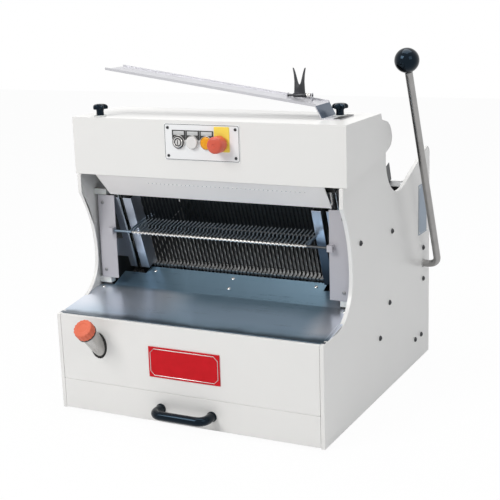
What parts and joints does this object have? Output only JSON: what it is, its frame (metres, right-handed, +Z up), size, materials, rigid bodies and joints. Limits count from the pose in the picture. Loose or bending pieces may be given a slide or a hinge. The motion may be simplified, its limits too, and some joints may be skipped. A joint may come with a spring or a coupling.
{
  "type": "bread slicer",
  "caption": "Table-top bread slicer: a lever-fed pusher drives the loaf through two reciprocating blade frames on to a sloping tray, with a bagging rack on the head.",
  "frame": {"origin": "on the floor, at the centre of the casing's footprint", "axes": "+X to the operator's right, +Y to the rear (the infeed end), +Z up"},
  "size_m": [0.7115, 0.7664, 0.7773],
  "materials": {
    "amber_plastic": "translucent look",
    "black_plastic": "glossy",
    "blue_label": "anodised, bare",
    "bright_steel": "bright",
    "cast": "painted casting",
    "grey_coat": "satin powder coat",
    "legend": "satin, bare",
    "motor_coat": "satin",
    "orange_plastic": "satin, ribbed",
    "red_label": "glossy, bare",
    "red_plastic": "glossy",
    "rubber": "matt",
    "stainless": "fine brushed",
    "steel": "ground",
    "white_coat": "glossy powder coat",
    "white_plastic": "satin",
    "zinc": "zinc plated"
  },
  "bodies": {
    "housing": {"apron": "grey_coat", "bag_rack": "stainless", "base_pan": "zinc", "cable_gland": "black_plastic", "comb_bar": "bright_steel", "contact_blocks": "black_plastic", "control_bezels": "bright_steel", "control_plate": "stainless", "cross_members": "zinc", "data_plate": "blue_label", "delivery_tray": "stainless", "drive_belt": "rubber", "fasteners": "zinc", "filler_neck": "stainless", "filler_seal": "rubber", "fork_hinge": "steel", "front_panel": "white_coat", "guard_posts": "grey_coat", "guide_blocks": "zinc", "guide_covers": "stainless", "guide_rods": "bright_steel", "head_cover": "white_coat", "infeed_table": "stainless", "knob_washers": "white_plastic", "legend_plates": "legend", "motor": "motor_coat", "nameplate": "red_label", "oil_tank": "zinc", "post_blocks": "white_plastic", "rear_panel": "white_coat", "rubber_feet": "rubber", "shaft_bearings": "cast", "side_panel_left": "white_coat", "side_panel_right": "white_coat", "signal_lamp": "amber_plastic"},
    "drawer": {"crumb_drawer": "white_coat", "drawer_handle": "black_plastic"},
    "front_frame": {"blade_frame_front": "steel", "blades_front": "bright_steel", "slide_blocks_front": "white_plastic"},
    "rear_frame": {"blade_frame_rear": "steel", "blades_rear": "bright_steel", "slide_blocks_rear": "white_plastic"},
    "crank": {"crankshaft": "steel", "crank_pulley": "cast"},
    "motor_rotor": {"motor_pulley": "cast"},
    "feed_lever": {"lever_shaft": "steel", "lever_rod": "steel", "lever_knob": "black_plastic", "swing_arms": "zinc"},
    "pusher": {"pusher_plate": "stainless", "pusher_carriage": "zinc"},
    "hold_down": {"hold_down_grid": "bright_steel"},
    "key": {"key_switch": "bright_steel"},
    "start": {"start_button": "white_plastic"},
    "stop": {"stop_button": "red_plastic"},
    "left_knob": {"star_knob_left": "black_plastic"},
    "right_knob": {"star_knob_right": "black_plastic"},
    "oil_cap": {"filler_cap": "orange_plastic"},
    "fork": {"bag_fork": "steel"}
  },
  "joints": [
    {"name": "lever_swing", "type": "hinge", "parent": "housing", "child": "feed_lever", "pos_m": [0, 0.2895, 0.242], "axis": [1, 0, 0], "range_deg": [-7, 42]},
    {"name": "pusher_slide", "type": "slide", "parent": "housing", "child": "pusher", "axis": [0, -0.9397, -0.342], "range_m": [-0.0212, 0.1262]},
    {"name": "front_frame_slide", "type": "slide", "parent": "housing", "child": "front_frame", "axis": [0, -0.342, 0.9397], "range_m": [-0.014, 0.014]},
    {"name": "rear_frame_slide", "type": "slide", "parent": "housing", "child": "rear_frame", "axis": [0, -0.342, 0.9397], "range_m": [-0.014, 0.014]},
    {"name": "crank_spin", "type": "hinge", "parent": "housing", "child": "crank", "pos_m": [0, -0.02054, 0.15199], "axis": [1, 0, 0], "continuous": true},
    {"name": "motor_spin", "type": "hinge", "parent": "housing", "child": "motor_rotor", "pos_m": [-0.25, 0.2025, 0.112], "axis": [1, 0, 0], "continuous": true},
    {"name": "drawer_slide", "type": "slide", "parent": "housing", "child": "drawer", "axis": [0, -1, 0], "range_m": [0, 0.25]},
    {"name": "hold_down_swing", "type": "hinge", "parent": "housing", "child": "hold_down", "pos_m": [0, -0.1745, 0.381], "axis": [1, 0, 0], "range_deg": [0, 10]},
    {"name": "key_turn", "type": "hinge", "parent": "housing", "child": "key", "pos_m": [-0.054, -0.2205, 0.599], "axis": [0, 1, 0], "range_deg": [0, 90]},
    {"name": "start_press", "type": "slide", "parent": "housing", "child": "start", "axis": [0, 1, 0], "range_m": [0, 0.003], "stiffness_N_per_m": 600, "springref_m": -0.001},
    {"name": "stop_press", "type": "slide", "parent": "housing", "child": "stop", "axis": [0, 1, 0], "range_m": [0, 0.004], "stiffness_N_per_m": 800, "springref_m": -0.001},
    {"name": "left_knob_turn", "type": "hinge", "parent": "housing", "child": "left_knob", "pos_m": [-0.268, -0.1955, 0.66], "axis": [0, 0, 1], "continuous": true},
    {"name": "right_knob_turn", "type": "hinge", "parent": "housing", "child": "right_knob", "pos_m": [0.264, -0.0975, 0.66], "axis": [0, 0, 1], "continuous": true},
    {"name": "oil_cap_turn", "type": "hinge", "parent": "housing", "child": "oil_cap", "pos_m": [-0.214, -0.3375, 0.162], "axis": [0, -0.7071, 0.7071], "continuous": true},
    {"name": "fork_tilt", "type": "hinge", "parent": "housing", "child": "fork", "pos_m": [0.172, -0.0945, 0.6884], "axis": [1, 0, 0], "range_deg": [-20, 20], "stiffness_Nm_per_rad": 0.6}
  ],
  "couplings": [
    {"joint": "pusher_slide", "follows": "lever_swing", "m_per_rad": 0.17186},
    {"joint": "rear_frame_slide", "follows": "front_frame_slide", "ratio": -1},
    {"joint": "motor_spin", "follows": "crank_spin", "ratio": 2.0329}
  ]
}
